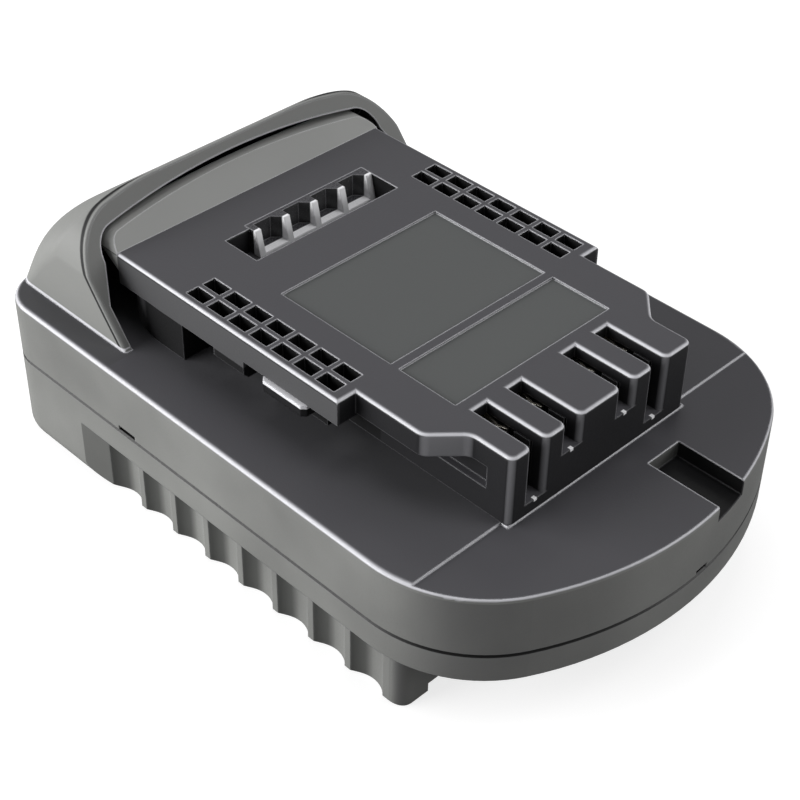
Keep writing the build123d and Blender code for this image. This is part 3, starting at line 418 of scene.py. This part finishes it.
caseZones = {
    # painted light: the whole hood painted light grey for the light its walls catch
    "hood": ((0.22, 0.223, 0.215), 0.14, {"z": abovePlate}),
    # painted light: the lip's forward-facing faces painted mid-grey as lit
    "lipFrontLit": ((0.17, 0.172, 0.168), 0.05, {"z": abovePlate, "ahead": (0.35, pastUnit)}),
    # painted shade: the hood's downward faces painted black
    "shadeInsideHood": (black, 0.1, {"z": abovePlate, "up": (-pastUnit, -0.1)}),
    # painted shade: the plate along the hood's sides painted black
    "shadeBesideHood": (black, 0.0, {"x": (-beyond, -28.5), "aside": (33.4, 38.0), "z": onPlate}),
    # painted highlight: a light line along the foot of the hood's walls
    "hoodFootHighlight": (
        (0.6, 0.6, 0.63),
        -0.1,
        {"x": (-beyond, -29.5), "aside": (33.0, 36.0), "z": (plateTop + 0.1, plateTop + 0.55)},
    ),
    # painted shade: a black band in the crease just behind the lip
    "shadeInCreaseBehindLip": (
        black,
        0.1,
        {"z": (plateTop + 0.5, beyond), "behind": (0.65, 1.45, 0.15), "ahead": (-pastUnit, 0.5)},
    ),
    # painted shadow: the plate beside the deck, under the wings, painted black
    "shadowBesideDeck": (
        black,
        0.0,
        {"x": (-40.0, 34.0, 8.0), "aside": (-20.0, 29.0, 6.0), "z": onPlate},
    ),
    # painted shade: the nose's forward faces painted darker
    "noseFrontShade": (
        (0.095, 0.095, 0.096),
        0.0,
        {"x": (26.0, beyond, 4.0), "ahead": (0.5, 0.85, 0.3), "z": (-1.0, plateTop - 0.9)},
    ),
    "fluteShade": (
        (0.09, 0.092, 0.088),
        0.1,
        {"x": (-beyond, 34.0), "ahead": (0.2, pastUnit, 0.15), "z": (-1.0, 11.7)},
    ),
    # painted shade: the inside of the nose notch painted black
    "shadeInNoseNotch": (
        black,
        0.0,
        {"x": (44.4, beyond), "y": (5.4, 12.8), "z": (plateTop - 3.1, plateTop - 0.35)},
    ),
}
casePlastic = makeMoulding(
    "casePlastic",
    {
        **moulding,
        "zones": caseZones,
        "roundFrom": plateTop - 1.2,
        "roundTo": plateTop + 0.05,
        "edgeFrom": plateTop - 0.5,
        "lowShare": 0.1,
        "sharpShare": 1.0,
        "edge": 0.42,
        "edgeShare": 0.72,
        "seam": plateTop - seamDrop,
    },
)

deckZones = {
    # painted light: the tail face painted light grey as lit
    "tailLit": ((0.29, 0.293, 0.286), 0.1, {"x": (-beyond, deckRear)}),
    "labelRecesses": ((0.034, 0.038, 0.034), 0.05, {"z": (deckTop - 0.45, deckTop - 0.25)}),
    # painted light: the wings' side faces painted lighter than the other deck walls
    "wingSidesLit": (
        (0.075, 0.075, 0.078),
        0.0,
        {"x": (deckRear, wingFront), "aside": (28.0, 30.0), "z": (wingUnder, deckTop - 0.6)},
    ),
    # painted shade: the neck and block under the wings painted black
    "shadeUnderWings": (
        black,
        0.1,
        {"x": (deckRear, wingFront), "aside": (0.0, 30.0), "z": (plateTop + 0.2, wingUnder)},
    ),
    # painted shade: the inside of the vents painted black
    "shadeInVents": (
        black,
        0.2,
        {"x": (-22.0, 13.2), "aside": (21.3, 27.5), "z": (30.0, deckTop - 0.2)},
    ),
    # painted shade: the lock pocket painted black
    "shadeInLockPocket": (
        black,
        0.1,
        {"x": (-26.5, -20.4), "y": (-13.9, 17.8), "z": (34.0, deckTop - 0.2)},
    ),
}
# a painted highlight where each slot's floor meets the front: place across, and height above the plate
slotGlints = ((-14.2, 2.0), (-6.9, 7.0), (4.9, 7.0), (12.2, 2.0))
glintHalf = 0.32
for count, (across, rise) in enumerate(slotGlints):
    deckZones["slotSpot%d" % count] = (
        (0.9, 0.9, 0.92),
        -0.1,
        {
            "x": (deckFront - 0.6, deckFront + 0.2),
            "y": (across - glintHalf, across + glintHalf),
            "z": (plateTop + rise - 0.45, plateTop + rise + 0.1),
        },
    )
deckPlastic = makeMoulding(
    "deckPlastic",
    {
        **moulding,
        "wall": (0.014, 0.014, 0.0155),
        "zones": deckZones,
        "roundRear": deckRear + 0.1,
        "edgeFrom": deckTop - 0.6,
        "lowShare": 0.14,
        "sharpShare": 0.8,
        "cornerShare": 0.35,
        "edgeShare": 0.75,
    },
)

insertPlastic = makeMoulding(
    "insertPlastic",
    {
        **moulding,
        "edge": 0.25,
        "wall": (0.05, 0.05, 0.052),
        # painted highlight: the louvre bars painted near white
        "zones": {"barHighlights": ((0.88, 0.88, 0.9), 0.0, {"x": (-27.3, -20.0)})},
        "topRough": 0.3,
        "wallRough": 0.25,
    },
)
carrierPlastic = makeMoulding("carrierPlastic", {**moulding, "wall": (0.03, 0.03, 0.03), "edge": 0.2})
blockPlastic = makeMoulding(
    "blockPlastic", {**moulding, "top": (0.05, 0.05, 0.055), "wall": (0.06, 0.06, 0.065), "edge": 0.3}
)

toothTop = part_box("latch_tooth_left")[1][2] / mm
# painted highlight: a near-white band along the tooth's top edge, from here up
highlightFrom = toothTop - 0.55
toothPlastic = makeMoulding(
    "toothPlastic",
    {
        **moulding,
        "top": (0.01, 0.01, 0.011),
        "wall": (0.008, 0.008, 0.009),
        "zones": {"toothTopHighlight": ((0.8, 0.8, 0.83), -0.1, {"z": (highlightFrom, toothTop + 1.0)})},
        "edgeFrom": highlightFrom,
        "roundFrom": highlightFrom,
        "sharpShare": 0.9,
    },
)
componentBlack = makeMoulding(
    "componentBlack",
    {**moulding, "top": (0.018, 0.018, 0.02), "wall": (0.022, 0.022, 0.024), "edge": 0.15},
)


# plated and bare metal with fine drawn lines
def makeMetal(name, v):
    b = Bench(name)
    lines = b.noise(b.place(v["stretch"]), v["lineScale"], detail=4.0, rough=0.65)
    stain = b.noise(b.place(), v["stainScale"], detail=3.0)
    rounded, edge = b.bevel(v["edge"])
    base = b.blend(b.spread(stain, *v["stainRange"], 0.0, 1.0), v["colour"], v["tarnish"])
    # painted highlight: the edges blended towards a brighter colour
    base = b.blend(b.combine(edge, v["edgeShare"], "MULTIPLY"), base, v["bright"])
    smoother, rougher = v["rough"] - v["roughSpread"], v["rough"] + v["roughSpread"]
    rough = b.spread(lines, *noiseMiddle, smoother, rougher)
    normal = b.bump(lines, v["lineBump"], v["lineDepth"], rounded)
    return b.finish(base, rough, normal, Metallic=1.0)


nickel = {
    "colour": (0.66, 0.62, 0.55),
    "tarnish": (0.55, 0.5, 0.42),
    "bright": (0.85, 0.83, 0.78),
    "rough": 0.28,
    "roughSpread": 0.08,
    "edge": 0.12,
    "edgeShare": 0.5,
    "stretch": (0.1, 1, 1),
    "lineScale": 4.0,
    "lineBump": 0.3,
    "lineDepth": 0.02,
    "stainScale": 0.25,
    "stainRange": (0.35, 0.7),
}
contactMetal = makeMetal("contactMetal", nickel)
bladeMetal = makeMetal("bladeMetal", {**nickel, "colour": (0.7, 0.68, 0.64), "rough": 0.24})
springSteel = makeMetal("springSteel", {**nickel, "colour": (0.5, 0.5, 0.52), "stretch": (1, 0.1, 1)})
strikeSteel = makeMetal("strikeSteel", {**nickel, "colour": (0.46, 0.46, 0.48), "rough": 0.38})
screwSteel = makeMetal("screwSteel", {**nickel, "colour": (0.3, 0.3, 0.32), "rough": 0.36})
resistorMetal = makeMetal("resistorMetal", {**nickel, "colour": (0.42, 0.38, 0.34), "rough": 0.42})
capacitorCan = makeMetal("capacitorCan", {**nickel, "colour": (0.72, 0.72, 0.74), "rough": 0.3})


# green laminate with copper tracks under its coating
def makeLaminate(name, v):
    b = Bench(name)
    where = b.place()
    tracks = b.add("ShaderNodeTexBrick", offset=0.37, squash=0.6)
    tracks.inputs["Scale"].default_value = v["trackScale"]
    tracks.inputs["Mortar Size"].default_value = v["trackWidth"]
    tracks.inputs["Color1"].default_value = (0, 0, 0, 1)
    tracks.inputs["Color2"].default_value = (0, 0, 0, 1)
    tracks.inputs["Mortar"].default_value = (1, 1, 1, 1)
    b.join(where, tracks.inputs["Vector"])
    weave = b.noise(where, v["weaveScale"], detail=2.0)
    base = b.blend(b.spread(weave, *v["weaveRange"], 0.0, 1.0), v["coat"], v["shade"])
    base = b.blend(b.combine(tracks.outputs["Color"], v["trackShare"], "MULTIPLY"), base, v["track"])
    rounded, edge = b.bevel(v["edge"])
    base = b.blend(b.combine(edge, v["coreShare"], "MULTIPLY"), base, v["core"])
    normal = b.bump(tracks.outputs["Color"], v["trackBump"], v["trackDepth"], rounded)
    return b.finish(base, b.spread(weave, *noiseMiddle, *v["rough"]), normal)


boardLaminate = makeLaminate(
    "boardLaminate",
    {
        "coat": (0.02, 0.13, 0.05),
        "shade": (0.015, 0.1, 0.04),
        "track": (0.06, 0.26, 0.1),
        "core": (0.42, 0.4, 0.2),
        "trackScale": 0.22,
        "trackWidth": 0.06,
        "trackShare": 0.8,
        "trackBump": 0.4,
        "trackDepth": 0.05,
        "weaveScale": 2.4,
        "weaveRange": (0.35, 0.65),
        "rough": (0.26, 0.36),
        "edge": 0.15,
        "coreShare": 0.6,
    },
)


# ceramic tube with a metal cap on each end along X
def makeFuse(name, v):
    b = Bench(name)
    where = b.place()
    low, high = (corner[0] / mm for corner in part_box(v["node"]))
    split = b.add("ShaderNodeSeparateXYZ")
    b.join(where, split.inputs[0])
    reach = b.combine(b.combine(split.outputs["X"], (low + high) / 2, "SUBTRACT"), 0.0, "ABSOLUTE")
    capStart = (high - low) / 2 - v["cap"]
    cap = b.spread(reach, capStart - v["capSoft"], capStart + v["capSoft"], 0.0, 1.0)
    glaze = b.noise(where, v["glazeScale"], detail=3.0)
    body = b.blend(b.spread(glaze, *noiseMiddle, 0.0, 1.0), v["body"], v["bodyShade"])
    rounded = b.bevel(v["edge"])[0]
    shader = b.finish(b.blend(cap, body, v["metal"]), b.spread(glaze, *noiseMiddle, *v["rough"]), rounded)
    principled = next(n for n in b.tree.nodes if n.bl_idname == "ShaderNodeBsdfPrincipled")
    b.join(cap, principled.inputs["Metallic"])
    return shader


fuseBody = makeFuse(
    "fuseBody",
    {
        "node": "board_fuse",
        "body": (0.72, 0.68, 0.58),
        "bodyShade": (0.64, 0.6, 0.5),
        "metal": (0.7, 0.68, 0.64),
        "cap": 2.0,
        "capSoft": 0.05,
        "glazeScale": 1.6,
        "rough": (0.24, 0.36),
        "edge": 0.3,
    },
)


# silicone sleeve: faint rings, dust and a soft sheen
def makeSleeve(name, v):
    b = Bench(name)
    where = b.place()
    rings = b.add("ShaderNodeTexWave", wave_type="BANDS", bands_direction="DIAGONAL")
    rings.inputs["Scale"].default_value = v["ringScale"]
    rings.inputs["Distortion"].default_value = v["ringWaver"]
    b.join(where, rings.inputs["Vector"])
    dust = b.noise(where, v["dustScale"], detail=3.0)
    base = b.blend(b.spread(dust, *v["dustRange"], 0.0, v["dustShare"]), v["colour"], v["dust"])
    normal = b.bump(rings.outputs["Fac"], v["ringBump"], v["ringDepth"])
    return b.finish(base, b.spread(dust, *noiseMiddle, *v["rough"]), normal)


sleeve = {
    "colour": (0.42, 0.02, 0.02),
    "dust": (0.5, 0.12, 0.1),
    "dustScale": 0.9,
    "dustRange": (0.4, 0.75),
    "dustShare": 0.5,
    "ringScale": 1.2,
    "ringWaver": 1.5,
    "ringBump": 0.15,
    "ringDepth": 0.05,
    "rough": (0.4, 0.55),
}
leadRed = makeSleeve("leadRed", sleeve)
leadBlack = makeSleeve("leadBlack", {**sleeve, "colour": (0.02, 0.02, 0.022), "dust": (0.07, 0.07, 0.07)})
leadWhite = makeSleeve("leadWhite", {**sleeve, "colour": (0.66, 0.66, 0.64), "dust": (0.5, 0.5, 0.48)})
print("stage: materials made")

finishes = {
    "top_case": casePlastic,
    "bottom_case": casePlastic,
    "rail_deck": deckPlastic,
    "louvre_insert": insertPlastic,
    "terminal_carrier": carrierPlastic,
    "donor_terminal_block": blockPlastic,
    "circuit_board": boardLaminate,
    "power_switches": componentBlack,
    "control_chip": componentBlack,
    "board_fuse": fuseBody,
    "sense_resistor": resistorMetal,
    "smoothing_capacitor": capacitorCan,
    "lead_positive": leadRed,
    "lead_negative": leadBlack,
    "lead_signal_high": leadWhite,
    "lead_signal_low": leadWhite,
    "latch_strike": strikeSteel,
    "latch_tooth_right": toothPlastic,
    "latch_tooth_left": toothPlastic,
    "tooth_keeper_right": deckPlastic,
    "tooth_keeper_left": deckPlastic,
}
families = {"clip_": contactMetal, "blade_": bladeMetal, "tooth_spring": springSteel}
for name, node in nodes.items():
    finish = finishes.get(name)
    for start, familyFinish in families.items():
        if name.startswith(start):
            finish = familyFinish
    if name.endswith("_screws"):
        finish = screwSteel
    node.data.materials.clear()
    node.data.materials.append(finish)
print("stage: finishes on")

# coil springs of the latch teeth, in place of the plain tubes
coil = {
    "wire": 0.15,  # radius in mm
    "turns": 6,
    "steps": 20,  # in each turn
    "wireSides": 8,
    "keep": 0.5,
}


def makeCoil(side, v):
    tube = "tooth_spring_" + side
    low, high = (Vector(corner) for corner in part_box(tube))
    centre = (low + high) / 2
    wire = v["wire"] * mm
    coilRadius = (high.x - low.x) / 2 - wire
    length = high.y - low.y
    bpy.ops.object.select_all(action="DESELECT")
    bpy.ops.mesh.primitive_circle_add(
        vertices=v["wireSides"],
        radius=wire,
        fill_type="NOTHING",
        location=(coilRadius, 0, 0),
        rotation=(math.pi / 2, 0, 0),
    )
    piece = bpy.context.object
    piece.name = "toothCoil." + side
    bpy.ops.object.transform_apply(location=True, rotation=True, scale=True)
    turning = piece.modifiers.new("turns", "SCREW")
    turning.axis = "Z"
    turning.iterations = v["turns"]
    turning.steps = turning.render_steps = v["steps"]
    turning.screw_offset = (length - 2 * wire) / v["turns"]
    turning.use_merge_vertices = False
    bpy.ops.object.modifier_apply(modifier="turns")
    piece.rotation_euler = (-math.pi / 2, 0, 0)
    piece.location = (centre.x, low.y + wire, centre.z)
    bpy.ops.object.transform_apply(location=True, rotation=True, scale=True)
    bpy.ops.object.mode_set(mode="EDIT")
    bpy.ops.mesh.select_all(action="SELECT")
    bpy.ops.mesh.normals_make_consistent(inside=False)
    bpy.ops.object.mode_set(mode="OBJECT")
    bpy.ops.object.shade_smooth()
    piece.data.materials.append(springSteel)
    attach(piece, "case")
    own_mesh(piece)
    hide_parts(tube)


for side in ("right", "left"):
    makeCoil(side, coil)
print("stage: coils wound")
